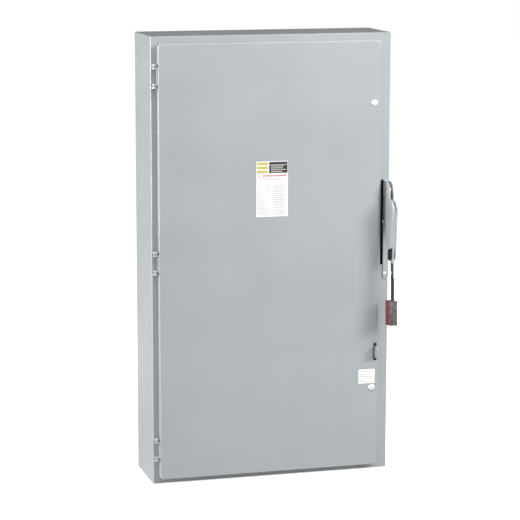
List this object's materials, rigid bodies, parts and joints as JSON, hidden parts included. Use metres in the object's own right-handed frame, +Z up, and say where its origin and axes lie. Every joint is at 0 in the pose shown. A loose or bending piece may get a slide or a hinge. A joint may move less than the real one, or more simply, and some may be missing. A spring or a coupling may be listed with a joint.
{
  "type": "electrical disconnect switch enclosure",
  "caption": "Tall wall-mounted grey steel safety-switch box with a side-hinged door, padlock tongue, and a hooded flange-mounted lever that drives knife blades inside.",
  "frame": {"origin": "centre of the enclosure's back face, in the plane of the wall", "axes": "+Z up, +Y into the wall (the door faces -Y), +X to the right seen from the front"},
  "size_m": [0.7035, 0.2835, 1.276],
  "materials": {
    "grey_paint": "semi-gloss baked enamel over sheet steel",
    "bright_zinc": "bright zinc plated",
    "zinc_steel": "zinc plated steel",
    "dark_steel": "black oxide",
    "black_nylon": "moulded",
    "red_grip": "moulded vinyl",
    "grip_plate": "textured enamel",
    "white_label": "printed film",
    "copper": "tin-flashed copper alloy",
    "aluminium": "extruded",
    "base_plastic": "moulded thermoset",
    "arc_fibre": "fibre",
    "clear_sheet": "clear polycarbonate"
  },
  "bodies": {
    "enclosure": {"arc_chutes": "arc_fibre", "base_plate_screws": "bright_zinc", "base_screws": "zinc_steel", "base_standoffs": "base_plastic", "bottom_end_wall": "grey_paint", "door_clip_nuts": "zinc_steel", "door_screw_brackets": "grey_paint", "enclosure_body": "grey_paint", "ground_lug": "aluminium", "ground_lug_screw": "zinc_steel", "handle_base_plate": "grey_paint", "handle_hood": "grey_paint", "hinge_frame_leaves": "grey_paint", "hinge_pins": "grey_paint", "hinge_posts": "copper", "lever_guides": "black_nylon", "line_base": "base_plastic", "line_contacts": "copper", "line_lug_screws": "zinc_steel", "line_lugs": "aluminium", "line_shield": "clear_sheet", "load_base": "base_plastic", "load_lug_screws": "zinc_steel", "load_lugs": "aluminium", "load_strips": "copper", "lockout_bracket": "grey_paint", "lower_fuse_clips": "copper", "mechanism_frame": "zinc_steel", "padlock_tongue": "grey_paint", "pivot_pin": "zinc_steel", "shield_posts": "black_nylon", "top_end_wall": "grey_paint", "upper_fuse_clips": "copper"},
    "door": {"door_panel": "grey_paint", "hinge_door_leaves": "grey_paint", "rating_label": "white_label", "notice_label": "white_label"},
    "top_screw": {"door_screw_top": "bright_zinc", "screw_retainer_top": "zinc_steel"},
    "bottom_screw": {"door_screw_bottom": "bright_zinc", "screw_retainer_bottom": "zinc_steel"},
    "handle": {"lever_plate": "grey_paint", "lever_bar": "dark_steel", "lever_rivet": "bright_zinc", "handle_grip": "red_grip", "grip_face": "grip_plate", "crank_pin": "zinc_steel"},
    "link": {"drive_link": "zinc_steel"},
    "blades": {"crossbar_shaft": "zinc_steel", "blade_carriers": "base_plastic", "knife_blades": "copper", "rocker_arm": "zinc_steel", "rocker_pin": "zinc_steel"}
  },
  "joints": [
    {"name": "door_swing", "type": "hinge", "parent": "enclosure", "child": "door", "pos_m": [-0.342, -0.21, 0], "axis": [0, 0, -1], "range_deg": [0, 120]},
    {"name": "top_screw_turn", "type": "hinge", "parent": "door", "child": "top_screw", "pos_m": [0.2975, -0.219, 0.44], "axis": [0, 1, 0], "continuous": true},
    {"name": "bottom_screw_turn", "type": "hinge", "parent": "door", "child": "bottom_screw", "pos_m": [0.2975, -0.219, -0.391], "axis": [0, 1, 0], "continuous": true},
    {"name": "handle_swing", "type": "hinge", "parent": "enclosure", "child": "handle", "pos_m": [0.3415, -0.242, 0.126], "axis": [-1, 0, 0], "range_deg": [0, 165]},
    {"name": "link_pivot", "type": "hinge", "parent": "handle", "child": "link", "pos_m": [0.34575, -0.24513, 0.10221], "axis": [-1, 0, 0], "range_deg": [-165, 0]},
    {"name": "blade_swing", "type": "hinge", "parent": "enclosure", "child": "blades", "pos_m": [0, -0.075, 0.126], "axis": [-1, 0, 0], "range_deg": [0, 55]}
  ],
  "couplings": [
    {"joint": "link_pivot", "follows": "handle_swing", "ratio": -1},
    {"joint": "blade_swing", "follows": "handle_swing", "ratio": 0.3333}
  ]
}
